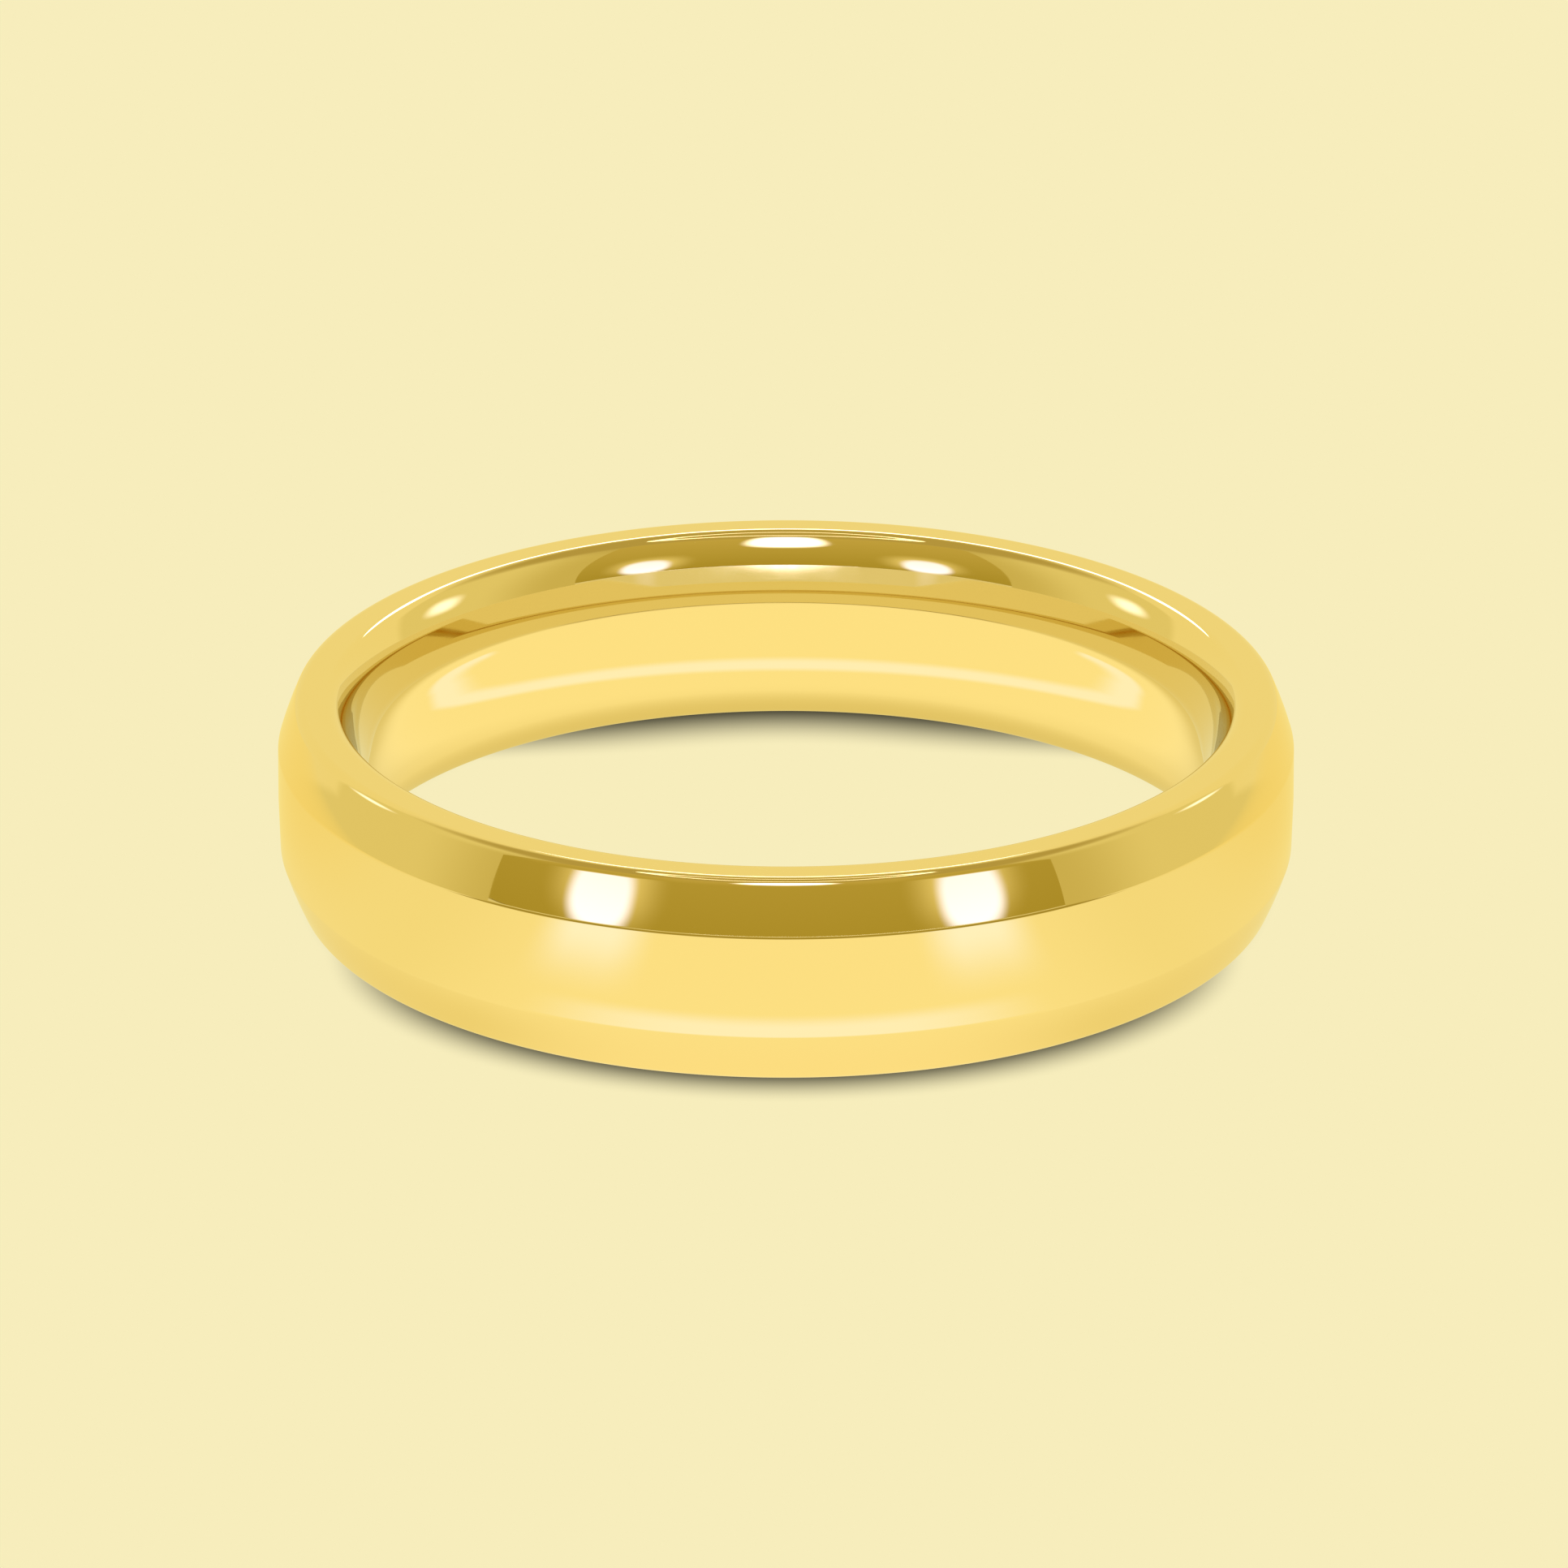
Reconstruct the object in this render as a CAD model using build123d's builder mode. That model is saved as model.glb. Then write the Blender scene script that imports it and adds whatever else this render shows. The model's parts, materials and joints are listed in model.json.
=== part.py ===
"""Plain wedding band: flat outer face, bevelled edges and a comfort-fit bore.

The band is one solid ring of gold.  It lies on one of its two flat edges, with the
finger axis along +Z and the origin at the centre of the bore, on the lower edge.
Lengths are in millimetres and angles in degrees.
"""

import math
import os

from build123d import *

# Ring size and overall section
BORE_DIAMETER = 16.5  # narrowest part of the bore, which sets the ring size
WALL_THICKNESS = 1.6  # at mid-width
BAND_WIDTH = 4.0  # along the finger

# Outside: a face that polishing has left a touch short of flat, and a bevel along each edge
FACE_CROWN_RADIUS = 28.0
BEVEL_HEIGHT = 1.0  # along the finger
BEVEL_DEPTH = 0.4  # towards the axis, from the middle of the face
BEVEL_CROWN_RADIUS = 7.0
CREASE_RADIUS = 0.3  # polished line between the face and a bevel
CORNER_RADIUS = 0.22  # polished corner between a bevel and a flat edge

# Inside: a short straight land, then a crown, a slope and a tighter arc towards each edge
LAND_LENGTH = 0.3
COMFORT_RADIUS = 4.3  # crown beside the land
COMFORT_TURN = 12.5  # how far the crown turns, and so how far the slope leans
SLOPE_LENGTH = 0.3
FLARE = 0.51  # how much wider the bore's radius is at an edge than at the land
LIP_RADIUS = 0.3  # polished lip between the bore and a flat edge

bore_radius = BORE_DIAMETER / 2
face_radius = bore_radius + WALL_THICKNESS
half_width = BAND_WIDTH / 2
half_land = LAND_LENGTH / 2
half_face = half_width - BEVEL_HEIGHT
crease_radius = face_radius - FACE_CROWN_RADIUS + math.sqrt(FACE_CROWN_RADIUS**2 - half_face**2)

# The section is drawn across the wall: x is the radius, and y is the height above mid-width.
section_plane = Plane(origin=(0, 0, half_width), x_dir=(1, 0, 0), z_dir=(0, -1, 0))

with BuildPart() as band:
    with BuildSketch(section_plane) as section:
        with BuildLine():
            crown = JernArc((bore_radius, half_land), (0, 1), COMFORT_RADIUS, -COMFORT_TURN)
            slope = PolarLine(crown @ 1, SLOPE_LENGTH, direction=crown % 1)
            flare = TangentArc(slope @ 1, (bore_radius + FLARE, half_width), tangent=slope % 1)
            edge = Line(flare @ 1, (face_radius - BEVEL_DEPTH, half_width))
            bevel = RadiusArc(edge @ 1, (crease_radius, half_face), BEVEL_CROWN_RADIUS)
            mirror(about=Plane.XZ)
            Line((bore_radius, -half_land), (bore_radius, half_land))
            RadiusArc(bevel @ 1, (crease_radius, -half_face), FACE_CROWN_RADIUS)
        make_face()

        creases = section.vertices().group_by(Axis.X)[-1]
        fillet(creases, CREASE_RADIUS)
        rows = section.vertices().group_by(Axis.Y)
        corners = [rows[0].sort_by(Axis.X)[-1], rows[-1].sort_by(Axis.X)[-1]]
        fillet(corners, CORNER_RADIUS)
        rows = section.vertices().group_by(Axis.Y)
        lips = [rows[0].sort_by(Axis.X)[0], rows[-1].sort_by(Axis.X)[0]]
        fillet(lips, LIP_RADIUS)
    revolve(axis=Axis.Z)

band.part.label = "band"
os.makedirs("parts", exist_ok=True)
export_step(band.part, "parts/band.step")
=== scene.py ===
"""A plain wedding band in polished gold, on a pale floor under soft studio light.

The band's mesh has the same section as the CAD band, revolved finely enough for a mirror
finish.  Angles are in degrees.  Lengths are in metres, except that the section and the rings
of painted light and shade on the floor are in millimetres.
"""

import json
import math

import bpy
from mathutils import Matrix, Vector


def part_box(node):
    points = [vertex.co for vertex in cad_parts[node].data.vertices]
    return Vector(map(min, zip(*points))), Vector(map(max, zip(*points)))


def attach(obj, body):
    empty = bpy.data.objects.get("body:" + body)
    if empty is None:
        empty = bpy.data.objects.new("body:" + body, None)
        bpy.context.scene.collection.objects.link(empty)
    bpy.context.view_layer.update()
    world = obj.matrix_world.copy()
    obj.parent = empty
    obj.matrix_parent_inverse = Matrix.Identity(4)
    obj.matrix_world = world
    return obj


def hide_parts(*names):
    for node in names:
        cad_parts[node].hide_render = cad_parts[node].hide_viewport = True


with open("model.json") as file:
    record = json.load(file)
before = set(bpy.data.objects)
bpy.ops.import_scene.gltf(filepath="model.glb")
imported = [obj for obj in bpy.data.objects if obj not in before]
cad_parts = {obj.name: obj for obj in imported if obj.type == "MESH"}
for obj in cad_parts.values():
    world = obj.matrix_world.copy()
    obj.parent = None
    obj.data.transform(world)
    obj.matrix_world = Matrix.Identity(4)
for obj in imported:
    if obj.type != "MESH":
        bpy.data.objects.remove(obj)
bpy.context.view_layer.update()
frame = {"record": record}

MM = 0.001

# The band's section, in millimetres
low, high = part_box("band")
FACE_RADIUS = high.x / MM
HALF_WIDTH = (high.z - low.z) / 2 / MM
BORE_RADIUS = frame["record"]["mounts"][0]["dims"]["r_mm"]
FACE_CROWN_RADIUS = 28.0
BEVEL_HEIGHT = 1.0
BEVEL_DEPTH = 0.4
BEVEL_CROWN_RADIUS = 7.0
CREASE_RADIUS = 0.3
CORNER_RADIUS = 0.22
HALF_LAND = 0.15
COMFORT_RADIUS = 4.3
COMFORT_TURN = 12.5
SLOPE_LENGTH = 0.3
FLARE = 0.51
LIP_RADIUS = 0.3

SEGMENTS = 360  # round the ring
LARGEST_TURN = 2.5  # from one point of an arc to the next
SAME_POINT = 0.0001  # millimetres

# The gold, and the faint marks of the polishing wheel in it
GOLD = (0.95, 0.80, 0.44)
HAZE_SCALE = 900.0  # of the noise, per metre
HAZE_DETAIL = 4.0
HAZE_RANGE = (0.35, 0.75)  # of the noise, from the smoothest gold to the roughest
ROUGHNESS_RANGE = (0.015, 0.045)

# The camera looks at the middle of the ring.
CAMERA_ELEVATION = 22.33
CAMERA_DISTANCE = 148 * MM
CAMERA_SENSOR = 36  # millimetres, as is the lens
CAMERA_LENS = 174.8
CAMERA_SHIFT = -0.0013  # of the frame's width
NEAREST, FARTHEST = CAMERA_DISTANCE / 100, CAMERA_DISTANCE * 100

# The studio: cards and lights stand round the ring.  Azimuth 0 is the camera's side, and
# azimuths grow towards +X.  Tables, screens and lights on the dome go up by elevation, and
# the bar by height above the floor.
SCREEN_RADIUS = 100 * MM
HALO_RADIUS = 98 * MM
LAMP_RADIUS = 96 * MM
SCREEN_SIDES = (-64, 59.5)
TABLE_FOOT, TABLE_TOP, GLINT_TOP, SCREEN_FOOT = 1.0, 5.38, 5.5, 5.6  # elevations
SCREEN_TOP, CANOPY_TOP = 30, 58
GLINT_SIDES = (-20, 40)
SOFTBOX_AZIMUTH, SOFTBOX_REACH, SOFTBOX_HEIGHTS = 39.5, 8.5, (3, 29)
HALO_AZIMUTH, HALO_REACH, HALO_HEIGHTS = 39, 15, (3, 36)
FLANK_AZIMUTH, FLANK_REACH, FLANK_HEIGHTS = 107, 9, (11, 31)
OVERHEAD_REACH, OVERHEAD_HEIGHTS = 16, (38, 64)
RING_LIGHT_ELEVATION, RING_LIGHT_REACH = 75, 1.5
BAR_DISTANCE, BAR_REACH, BAR_HEIGHTS = 50 * MM, 8 * MM, (33 * MM, 42 * MM)
CARD_STEPS = 24  # facets of a card, across and up
ROUNDNESS = 2.4  # of a soft card: 2 is an ellipse, and more is squarer
FLOOR_REACH = 3.0
MOST_BOUNCES = 16  # light goes to and fro in the bore

# Rings on the floor, as ranges of radius in millimetres.  Most bound painted shadow, shade or light.
RING_FOOT = (8.9, 9.3)
OUTER_SHADOW = (8.95, 10.5)  # from full shadow to full light
INNER_SHADOW = (9.25, 6.9)
SHADED_OUTSIDE = (9.6, 10.9)  # where the glow gets out of the ring's own shade
SHADED_INSIDE = (7.6, 8.7)
FLOOR_TO_WALL = (18.0, 80.0)  # over which the floor takes the wall's colour
TABLE_START = (20.0, 25.0)

# Colours of light, linear.  The eye sees only the cream, and the metal mirrors the others.
CREAM = (0.930, 0.847, 0.503)
# Painted colours that the metal mirrors after two, three and more bounces, in place of the mirrored
# scene.
MIRRORED_TWICE = (0.84, 0.82, 0.54)
MIRRORED_THRICE = (0.72, 0.74, 0.52)
MIRRORED_MORE = (0.48, 0.48, 0.30)
ROOF = (0.48, 0.37, 0.10)
WALL_BY_SCREEN = (0.63, 0.52, 0.16)
WALL_BESIDE = (0.79, 0.685, 0.277)
WALL_BEHIND = (0.905, 0.79, 0.363)


def polar(centre, radius, angle):
    """The point at that angle from the centre, in the plane of the section."""
    turn = math.radians(angle)
    return centre[0] + radius * math.cos(turn), centre[1] + radius * math.sin(turn)


def angle_from(centre, point):
    """The angle at which the point is seen from the centre."""
    return math.degrees(math.atan2(point[1] - centre[1], point[0] - centre[0]))


def tucked_under(one, one_radius, other, other_radius):
    """Where two circles meet on the side away from the axis."""
    apart = math.dist(one, other)
    along = (apart**2 + one_radius**2 - other_radius**2) / (2 * apart)
    aside = math.sqrt(one_radius**2 - along**2)
    step = ((other[0] - one[0]) / apart, (other[1] - one[1]) / apart)
    meets = [
        (one[0] + along * step[0] - side * step[1], one[1] + along * step[1] + side * step[0])
        for side in (-aside, aside)
    ]
    return max(meets)


def half_section():
    """The arcs of the upper half of the section, from the bore over the edge to the face.

    Every arc bulges outwards, so each is a centre, a radius and the first and last angle of
    its normal.  The land, the slope in the bore and the flat edge are the straight runs
    between arcs.
    """
    crown = (BORE_RADIUS + COMFORT_RADIUS, HALF_LAND)
    lean = 180 - COMFORT_TURN
    start = polar(polar(crown, COMFORT_RADIUS, lean), SLOPE_LENGTH, lean - 90)
    across, along = BORE_RADIUS + FLARE - start[0], HALF_WIDTH - start[1]
    normal = polar((0, 0), 1, lean)
    flare_radius = -(across**2 + along**2) / (2 * (across * normal[0] + along * normal[1]))
    flare = polar(start, -flare_radius, lean)
    lip_rise = HALF_WIDTH - LIP_RADIUS - flare[1]
    lip_reach = math.sqrt((flare_radius - LIP_RADIUS) ** 2 - lip_rise**2)
    lip = (flare[0] - lip_reach, HALF_WIDTH - LIP_RADIUS)

    half_face = HALF_WIDTH - BEVEL_HEIGHT
    face = (FACE_RADIUS - FACE_CROWN_RADIUS, 0.0)
    drop = FACE_CROWN_RADIUS - math.sqrt(FACE_CROWN_RADIUS**2 - half_face**2)
    depth = BEVEL_DEPTH - drop
    chord = math.hypot(depth, BEVEL_HEIGHT)
    back = math.sqrt(BEVEL_CROWN_RADIUS**2 - (chord / 2) ** 2)
    bevel = (
        FACE_RADIUS - (BEVEL_DEPTH + drop) / 2 - back * BEVEL_HEIGHT / chord,
        HALF_WIDTH - BEVEL_HEIGHT / 2 - back * depth / chord,
    )
    corner_rise = HALF_WIDTH - CORNER_RADIUS - bevel[1]
    corner_reach = math.sqrt((BEVEL_CROWN_RADIUS - CORNER_RADIUS) ** 2 - corner_rise**2)
    corner = (bevel[0] + corner_reach, HALF_WIDTH - CORNER_RADIUS)
    crease = tucked_under(
        bevel, BEVEL_CROWN_RADIUS - CREASE_RADIUS, face, FACE_CROWN_RADIUS - CREASE_RADIUS
    )

    lip_start = angle_from(flare, lip)
    corner_end = angle_from(bevel, corner)
    crease_start, face_start = angle_from(bevel, crease), angle_from(face, crease)
    return [
        (crown, COMFORT_RADIUS, 180, lean),
        (flare, flare_radius, lean, lip_start),
        (lip, LIP_RADIUS, lip_start, 90),
        (corner, CORNER_RADIUS, 90, corner_end),
        (bevel, BEVEL_CROWN_RADIUS, corner_end, crease_start),
        (crease, CREASE_RADIUS, crease_start, face_start),
        (face, FACE_CROWN_RADIUS, face_start, 0),
    ]


def section_points():
    """The whole section as (radius, height above mid-width, angle of the normal)."""
    upper = []
    for centre, radius, first, last in half_section():
        steps = math.ceil((first - last) / LARGEST_TURN)
        for step in range(steps + 1):
            angle = first + (last - first) * step / steps
            point = (*polar(centre, radius, angle), angle)
            if not upper or math.dist(point[:2], upper[-1][:2]) > SAME_POINT:
                upper.append(point)
    lower = [(radius, -height, -angle) for radius, height, angle in reversed(upper[:-1])]
    return upper + lower


def new_object(name, points, faces):
    """A mesh object in the scene."""
    mesh = bpy.data.meshes.new(name)
    mesh.from_pydata(points, [], faces)
    mesh.update()
    piece = bpy.data.objects.new(name, mesh)
    bpy.context.scene.collection.objects.link(piece)
    return piece


def revolved_band():
    """The band, with the exact normal of the section at every point."""
    outline = section_points()
    count = len(outline)
    points, normals, faces = [], [], []
    for segment in range(SEGMENTS):
        turn = 2 * math.pi * segment / SEGMENTS
        outwards = Vector((math.cos(turn), math.sin(turn), 0))
        for radius, height, angle in outline:
            points.append(outwards * radius * MM + Vector((0, 0, height + HALF_WIDTH)) * MM)
            lean = math.radians(angle)
            normals.append(outwards * math.cos(lean) + Vector((0, 0, math.sin(lean))))
        this, following = segment * count, (segment + 1) % SEGMENTS * count
        for i in range(count):
            j = (i + 1) % count
            faces.append((this + i, this + j, following + j, following + i))
    piece = new_object("polished_band", points, faces)
    piece.data.shade_smooth()
    piece.data.normals_split_custom_set_from_vertices(normals)
    return piece


class Nodes:
    """A short way to add linked nodes to a material or a world."""

    def __init__(self, owner):
        owner.use_nodes = True
        self.tree = owner.node_tree
        self.tree.nodes.clear()

    def add(self, kind, settings=None, **inputs):
        node = self.tree.nodes.new(kind)
        for name, value in (settings or {}).items():
            setattr(node, name, value)
        for name, value in inputs.items():
            self.set(node, name, value)
        return node

    def set(self, node, name, value):
        index = int(name[1:]) if name[0] == "i" and name[1:].isdigit() else name.replace("_", " ")
        socket = node.inputs[index]
        if isinstance(value, bpy.types.NodeSocket):
            self.tree.links.new(value, socket)
        else:
            socket.default_value = value

    def math(self, operation, *values):
        node = self.add("ShaderNodeMath", {"operation": operation})
        for index, value in enumerate(values):
            self.set(node, f"i{index}", value)
        return node.outputs[0]

    def ramp(self, value, low, high, first=0.0, last=1.0):
        """Goes smoothly from first to last as value goes from low to high."""
        node = self.add("ShaderNodeMapRange", {"interpolation_type": "SMOOTHSTEP"})
        for index, item in enumerate((value, low, high, first, last)):
            self.set(node, f"i{index}", item)
        return node.outputs[0]

    def stripe(self, value, rise, fall):
        """Goes smoothly from nought to one over the range rise, and back over the range fall."""
        return self.math("MULTIPLY", self.ramp(value, *rise), self.ramp(value, *reversed(fall)))

    def blend(self, factor, first, second):
        """A colour between first and second."""
        node = self.add("ShaderNodeMix", {"data_type": "RGBA"})
        self.set(node, "i0", factor)
        for index, colour in ((6, first), (7, second)):
            linked = isinstance(colour, bpy.types.NodeSocket)
            self.set(node, f"i{index}", colour if linked else (*colour, 1))
        return node.outputs[2]

    def bounces(self, count):
        """One for light that the metal mirrors at least so many times, or else nought."""
        depth = self.add("ShaderNodeLightPath").outputs["Ray Depth"]
        return self.math("GREATER_THAN", depth, count - 0.5)

    def painted_bounce_glow(self, colour, extra=0):
        """The colour, but for light that goes to and fro inside the bore a painted even tan, in
        place of what the metal would mirror.

        A world counts one bounce more than a surface, and that is the extra one.
        """
        glow = self.blend(self.bounces(2 + extra), colour, MIRRORED_TWICE)
        glow = self.blend(self.bounces(3 + extra), glow, MIRRORED_THRICE)
        return self.blend(self.bounces(4 + extra), glow, MIRRORED_MORE)


def gold():
    """Mirror-polished yellow gold with the faint marks of the polishing wheel."""
    material = bpy.data.materials.new("polished_gold")
    nodes = Nodes(material)
    place = nodes.add("ShaderNodeTexCoord").outputs["Object"]
    haze = nodes.add("ShaderNodeTexNoise", Vector=place, Scale=HAZE_SCALE, Detail=HAZE_DETAIL)
    roughness = nodes.ramp(haze.outputs[0], *HAZE_RANGE, *ROUGHNESS_RANGE)
    shader = nodes.add(
        "ShaderNodeBsdfPrincipled", Base_Color=(*GOLD, 1), Metallic=1.0, Roughness=roughness
    )
    nodes.add("ShaderNodeOutputMaterial", Surface=shader.outputs[0])
    return material


def direction(azimuth, elevation):
    """The unit vector towards a place in the studio."""
    turn, rise = math.radians(azimuth), math.radians(elevation)
    return Vector((math.sin(turn) * math.cos(rise), -math.cos(turn) * math.cos(rise), math.sin(rise)))


def card(name, grid, low_colour, high_colour=None, soft=0.0):
    """A glowing card that only first reflections see.  The grid is rows of points, lowest first.

    Its colour goes from low_colour at the bottom to high_colour at the top.  A soft card is
    a squarish ellipse, and its edge fades over that share of its radius.
    """
    rows, columns = len(grid), len(grid[0])
    points = [point for row in grid for point in row]
    faces = [
        (i, i + 1, i + columns + 1, i + columns)
        for row in range(rows - 1)
        for i in range(row * columns, (row + 1) * columns - 1)
    ]
    panel = new_object(name, points, faces)
    layer = panel.data.uv_layers.new(name="card")
    for loop in panel.data.loops:
        row, column = divmod(loop.vertex_index, columns)
        layer.data[loop.index].uv = (column / (columns - 1), row / (rows - 1))

    material = bpy.data.materials.new(name)
    nodes = Nodes(material)
    uv = nodes.add("ShaderNodeSeparateXYZ", Vector=nodes.add("ShaderNodeUVMap").outputs[0])
    colour = nodes.blend(uv.outputs["Y"], low_colour, high_colour or low_colour)
    shader = nodes.add("ShaderNodeEmission", Color=colour).outputs[0]
    clear = nodes.bounces(2)
    if soft:
        sideways = nodes.math("MULTIPLY_ADD", uv.outputs["X"], 2.0, -1.0)
        upwards = nodes.math("MULTIPLY_ADD", uv.outputs["Y"], 2.0, -1.0)
        sideways = nodes.math("POWER", nodes.math("ABSOLUTE", sideways), ROUNDNESS)
        upwards = nodes.math("POWER", nodes.math("ABSOLUTE", upwards), ROUNDNESS)
        spread = nodes.math("POWER", nodes.math("ADD", sideways, upwards), 1 / ROUNDNESS)
        clear = nodes.math("MAXIMUM", clear, nodes.ramp(spread, 1 - soft, 1.0))
    see_through = nodes.add("ShaderNodeBsdfTransparent").outputs[0]
    shader = nodes.add("ShaderNodeMixShader", i0=clear, i1=shader, i2=see_through).outputs[0]
    nodes.add("ShaderNodeOutputMaterial", Surface=shader)
    material.cycles.emission_sampling = "NONE"
    panel.data.materials.append(material)
    panel.visible_camera = False
    panel.visible_diffuse = False
    panel.visible_shadow = False


def about(middle, reach):
    """The range from so far below the middle to so far above it."""
    return middle - reach, middle + reach


def dome_patch(azimuths, elevations, distance=SCREEN_RADIUS):
    """The points of a card that bends round the ring."""
    middle = Vector((0, 0, HALF_WIDTH * MM))
    turns, rises = (
        [low + (high - low) * step / CARD_STEPS for step in range(CARD_STEPS + 1)]
        for low, high in (azimuths, elevations)
    )
    return [[middle + distance * direction(turn, rise) for turn in turns] for rise in rises]


def upright(y, xs, zs):
    """The points of a flat upright card that stands across the studio."""
    return [[Vector((x, y, z)) for x in xs] for z in zs]


def studio_cards():
    """What the gold mirrors, above all a dark screen round the camera, and lights."""
    bronze, umber, tan = (0.429, 0.323, 0.044), (0.490, 0.375, 0.068), (0.560, 0.430, 0.100)
    black, dull, sand = (0.10, 0.08, 0.04), (0.72, 0.62, 0.25), (0.80, 0.70, 0.36)
    amber, honey = (0.95, 0.80, 0.33), (0.97, 0.82, 0.35)
    white, cool, mild = (3.0, 3.0, 3.6), (1.5, 1.55, 2.4), (1.08, 1.13, 1.65)
    grey, warm = (1.5, 1.5, 1.5), (2.2, 2.0, 1.6)

    card("front_screen", dome_patch(SCREEN_SIDES, (SCREEN_FOOT, SCREEN_TOP)), bronze, umber)
    card("table_edge", dome_patch(SCREEN_SIDES, (GLINT_TOP, SCREEN_FOOT)), black)
    card("table_glint", dome_patch(GLINT_SIDES, (TABLE_TOP, GLINT_TOP)), white)
    card("table_top", dome_patch(SCREEN_SIDES, (TABLE_FOOT, TABLE_TOP)), dull, sand)
    card("front_canopy", dome_patch(SCREEN_SIDES, (SCREEN_TOP, CANOPY_TOP)), umber, tan)
    for name, side in (("left", -1), ("right", 1)):
        halo = dome_patch(about(side * HALO_AZIMUTH, HALO_REACH), HALO_HEIGHTS, HALO_RADIUS)
        card(f"halo_{name}", halo, amber, honey, soft=0.9)
        sides = about(side * SOFTBOX_AZIMUTH, SOFTBOX_REACH)
        softbox = dome_patch(sides, SOFTBOX_HEIGHTS, LAMP_RADIUS)
        card(f"softbox_{name}", softbox, cool, mild, soft=0.4)
        flank = dome_patch(about(side * FLANK_AZIMUTH, FLANK_REACH), FLANK_HEIGHTS, LAMP_RADIUS)
        card(f"flank_{name}", flank, grey, soft=0.8)
    overhead = dome_patch(about(0, OVERHEAD_REACH), OVERHEAD_HEIGHTS, LAMP_RADIUS)
    card("overhead_front", overhead, white, soft=0.5)
    card("overhead_ring", dome_patch((0, 360), about(RING_LIGHT_ELEVATION, RING_LIGHT_REACH)), warm)
    card("bar_rear", upright(BAR_DISTANCE, about(0, BAR_REACH), BAR_HEIGHTS), white)


def wall_glow(nodes, beyond):
    """The tent's wall, which is darker beside the screen and paler behind the ring."""
    beside = nodes.blend(nodes.ramp(beyond, -0.45, 0.0), WALL_BY_SCREEN, WALL_BESIDE)
    return nodes.blend(nodes.ramp(beyond, 0.45, 0.52), beside, WALL_BEHIND)


def narrowing(nodes, sideways, beyond, power, growth, onset, most, easing, least):
    """How far the edge of a painted shadow draws in, in millimetres.

    It is growth times that power of sideways, but not below a slope that goes from nought to
    most over the onset, nor above one that goes from most to least over the easing.  Both
    are ranges of beyond.
    """
    drawn = nodes.math("MULTIPLY", nodes.math("POWER", sideways, power), growth)
    drawn = nodes.math("MAXIMUM", drawn, nodes.ramp(beyond, *onset, 0.0, most))
    return nodes.math("MINIMUM", drawn, nodes.ramp(beyond, *easing, most, least))


def painted_shadow_factor(nodes, radius, sideways, beyond):
    """The ring's shadow, painted into the floor's colour: one where the floor is in full light, and
    nought in the darkest of the painted shadow.

    The painted shadow falls towards the camera, as it would under a light a little behind the ring.
    """
    place = nodes, sideways, beyond
    drawn = narrowing(
        *place, power=8.0, growth=1.7, onset=(-0.3, 0.1), most=0.9, easing=(0.4, 0.8), least=0.2
    )
    outside = nodes.ramp(nodes.math("ADD", radius, drawn), *OUTER_SHADOW)
    drawn = narrowing(
        *place, power=4.0, growth=6.5, onset=(0.3, 0.0), most=1.7, easing=(-0.3, -0.8), least=0.6
    )
    inside = nodes.ramp(nodes.math("SUBTRACT", radius, drawn), *INNER_SHADOW)
    inside = nodes.math("MULTIPLY", inside, nodes.ramp(radius, *reversed(RING_FOOT)))
    return nodes.math("MAXIMUM", outside, inside)


def glow_outside(nodes, radius, beyond):
    """The floor round the ring as the metal mirrors it: a painted glow, brighter on the camera's
    side, with a painted pool of the light that the metal would throw onto the floor, and
    painted shade close to the ring.
    """
    behind, beside, before = (0.95, 0.78, 0.28), (0.96, 0.85, 0.42), (1.03, 0.92, 0.50)
    shade_beside, shade_before, painted_bright = (0.90, 0.77, 0.34), (1.03, 0.90, 0.48), (1.06, 1.06, 1.00)
    glow = nodes.blend(nodes.ramp(beyond, 0.3, -0.4), behind, beside)
    glow = nodes.blend(nodes.ramp(beyond, -0.5, -0.95), glow, before)
    # A painted pool of light, where the metal would throw light onto the floor.
    painted_pool = nodes.stripe(radius, rise=(10.9, 11.7), fall=(12.1, 12.9))
    painted_pool = nodes.math("MULTIPLY", painted_pool, nodes.ramp(beyond, -0.80, -0.99))
    glow = nodes.blend(painted_pool, glow, painted_bright)
    # Painted shade on the floor close to the ring.
    painted_shade = nodes.blend(nodes.ramp(beyond, -0.75, -0.99), shade_beside, shade_before)
    return nodes.blend(nodes.ramp(radius, *SHADED_OUTSIDE), painted_shade, glow)


def glow_inside(nodes, radius, sideways, beyond, y):
    """The floor within the ring as the metal mirrors it, with a painted rim of light before the far
    wall and painted shade close to the foot of the walls.
    """
    plain, painted_bright = (1.04, 0.93, 0.50), (1.06, 1.06, 0.98)
    shade_behind, shade_before = (0.80, 0.68, 0.28), (0.42, 0.31, 0.08)
    bow = 1.5
    bowed = nodes.math("MULTIPLY_ADD", nodes.math("POWER", sideways, 2.0), bow, radius)
    # A painted rim of light, bowed towards the sides, before the far wall.
    painted_rim = nodes.stripe(bowed, rise=(5.95, 6.6), fall=(6.85, 7.2))
    painted_rim = nodes.math("MULTIPLY", painted_rim, nodes.ramp(y, 5.0, 5.6))
    glow = nodes.blend(painted_rim, plain, painted_bright)
    # Painted shade on the floor close to the foot of the walls.
    painted_shade = nodes.blend(nodes.ramp(beyond, 0.2, -0.3), shade_behind, shade_before)
    return nodes.blend(nodes.ramp(radius, *SHADED_INSIDE), glow, painted_shade)


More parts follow.
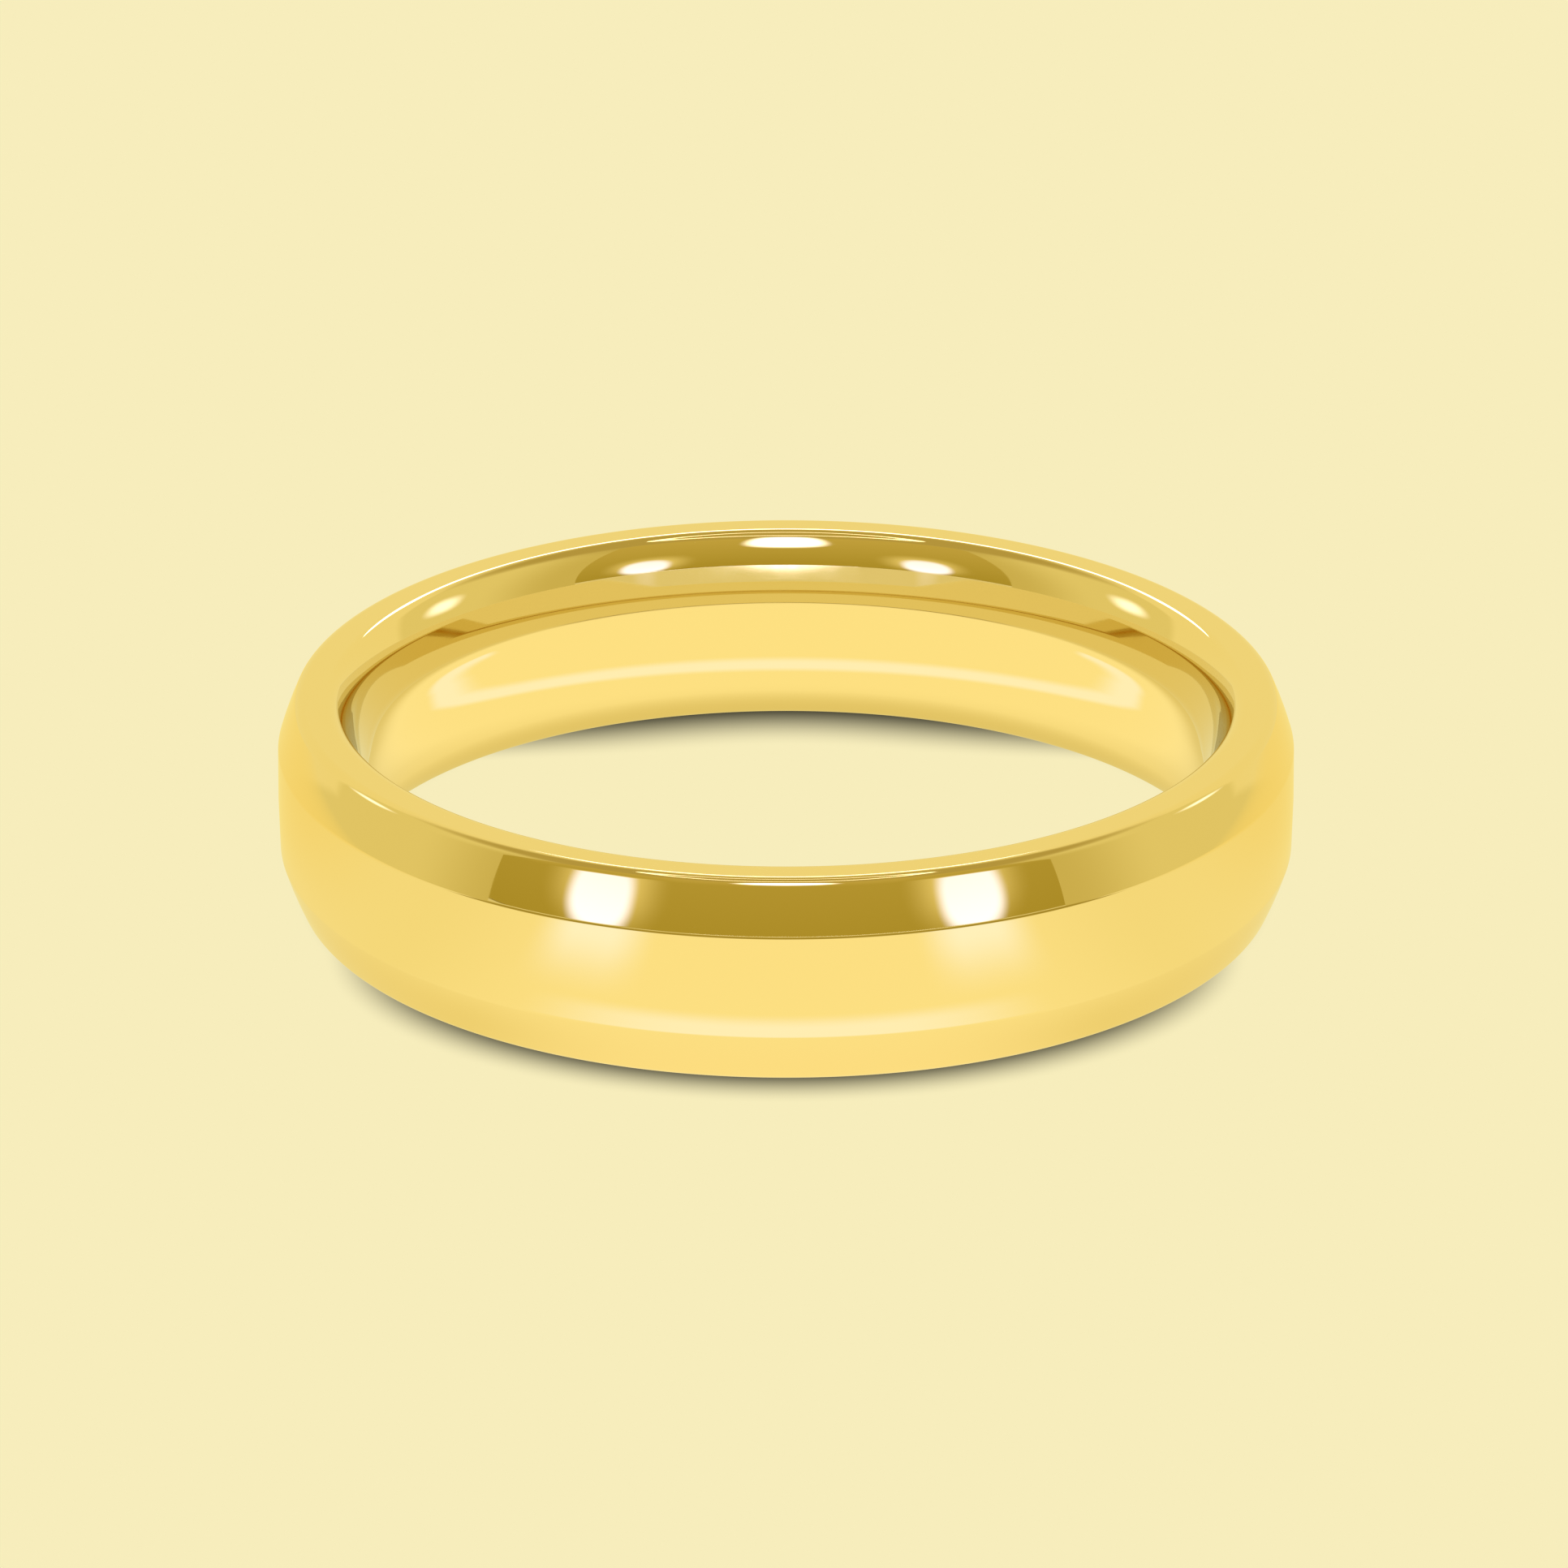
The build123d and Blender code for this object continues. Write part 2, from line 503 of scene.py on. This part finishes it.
def floor():
    """A pale floor: to the eye it has the ring's soft shadow, painted into its colour, and in the
    metal it glows with painted light and shade.

    Sideways is one straight to the left or right of the ring's axis.  Beyond goes from minus
    one on the camera's side to one behind the ring.
    """
    low, high = -FLOOR_REACH, FLOOR_REACH
    corners = [(low, low, 0), (high, low, 0), (high, high, 0), (low, high, 0)]
    sheet = new_object("floor", corners, [(0, 1, 2, 3)])
    material = bpy.data.materials.new("pale_floor")
    nodes = Nodes(material)
    place = nodes.add("ShaderNodeTexCoord").outputs["Object"]
    place = nodes.add("ShaderNodeVectorMath", {"operation": "SCALE"}, i0=place, Scale=1 / MM)
    place = place.outputs[0]
    axes = nodes.add("ShaderNodeSeparateXYZ", Vector=place)
    x, y = axes.outputs["X"], axes.outputs["Y"]
    radius = nodes.add("ShaderNodeVectorMath", {"operation": "LENGTH"}, i0=place).outputs["Value"]
    sideways = nodes.math("ABSOLUTE", nodes.math("DIVIDE", x, radius))
    beyond = nodes.math("DIVIDE", y, radius)
    # The ring's painted shadow darkens the cream that the eye sees.
    painted_shadow_cream = nodes.blend(painted_shadow_factor(nodes, radius, sideways, beyond), (0, 0, 0), CREAM)

    # In the metal the floor fades into the wall, but for a dark table before the ring and a
    # painted sheen, where the softboxes would be mirrored in the floor.
    table_colour, painted_sheen_colour = (0.40, 0.30, 0.05), (1.07, 1.09, 1.10)
    glow = nodes.blend(
        nodes.ramp(radius, *RING_FOOT),
        glow_inside(nodes, radius, sideways, beyond, y),
        glow_outside(nodes, radius, beyond),
    )
    glow = nodes.blend(nodes.ramp(radius, *FLOOR_TO_WALL), glow, wall_glow(nodes, beyond))
    table = nodes.math("MULTIPLY", nodes.ramp(radius, *TABLE_START), nodes.ramp(beyond, -0.42, -0.52))
    glow = nodes.blend(table, glow, table_colour)
    painted_sheen = nodes.math(
        "MULTIPLY",
        nodes.stripe(radius, rise=(12.5, 17.5), fall=(20.0, 25.0)),
        nodes.stripe(sideways, rise=(0.34, 0.47), fall=(0.55, 0.66)),
    )
    painted_sheen = nodes.math("MULTIPLY", painted_sheen, nodes.ramp(beyond, -0.3, -0.6))
    glow = nodes.painted_bounce_glow(nodes.blend(painted_sheen, glow, painted_sheen_colour))

    seen = nodes.add("ShaderNodeLightPath").outputs["Is Camera Ray"]
    matte = nodes.add("ShaderNodeEmission", Color=painted_shadow_cream).outputs[0]
    glow = nodes.add("ShaderNodeEmission", Color=glow).outputs[0]
    shader = nodes.add("ShaderNodeMixShader", i0=seen, i1=glow, i2=matte).outputs[0]
    nodes.add("ShaderNodeOutputMaterial", Surface=shader)
    material.cycles.emission_sampling = "NONE"
    sheet.data.materials.append(material)


def tent():
    """The world: cream to the eye, and to the metal a pale tent with a darker roof."""
    world = bpy.data.worlds.new("tent")
    bpy.context.scene.world = world
    nodes = Nodes(world)
    towards = nodes.add("ShaderNodeTexCoord").outputs["Generated"]
    part = nodes.add("ShaderNodeSeparateXYZ", Vector=towards)
    wall = wall_glow(nodes, part.outputs["Y"])
    inside = nodes.blend(nodes.ramp(part.outputs["Z"], 0.66, 0.86), wall, ROOF)
    seen = nodes.add("ShaderNodeLightPath").outputs["Is Camera Ray"]
    colour = nodes.blend(seen, nodes.painted_bounce_glow(inside, extra=1), CREAM)
    glow = nodes.add("ShaderNodeBackground", Color=colour)
    nodes.add("ShaderNodeOutputWorld", Surface=glow.outputs[0])
    world.cycles.sampling_method = "NONE"


def camera():
    """The camera, which looks at the middle of the ring."""
    lens = bpy.data.cameras.new("camera")
    lens.sensor_width = CAMERA_SENSOR
    lens.lens = CAMERA_LENS
    lens.clip_start, lens.clip_end = NEAREST, FARTHEST
    lens.shift_x = CAMERA_SHIFT
    eye = bpy.data.objects.new("camera", lens)
    back = direction(0, CAMERA_ELEVATION)
    eye.location = Vector((0, 0, HALF_WIDTH * MM)) + back * CAMERA_DISTANCE
    eye.rotation_mode = "QUATERNION"
    eye.rotation_quaternion = (-back).to_track_quat("-Z", "Y")
    bpy.context.scene.collection.objects.link(eye)
    bpy.context.scene.camera = eye


band = revolved_band()
band.data.materials.append(gold())
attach(band, "root")
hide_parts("band")

floor()
tent()
studio_cards()
camera()

scene = bpy.context.scene
scene.view_settings.view_transform = "Standard"
scene.cycles.max_bounces = MOST_BOUNCES
scene.cycles.glossy_bounces = MOST_BOUNCES
scene.cycles.caustics_reflective = False
scene.cycles.caustics_refractive = False
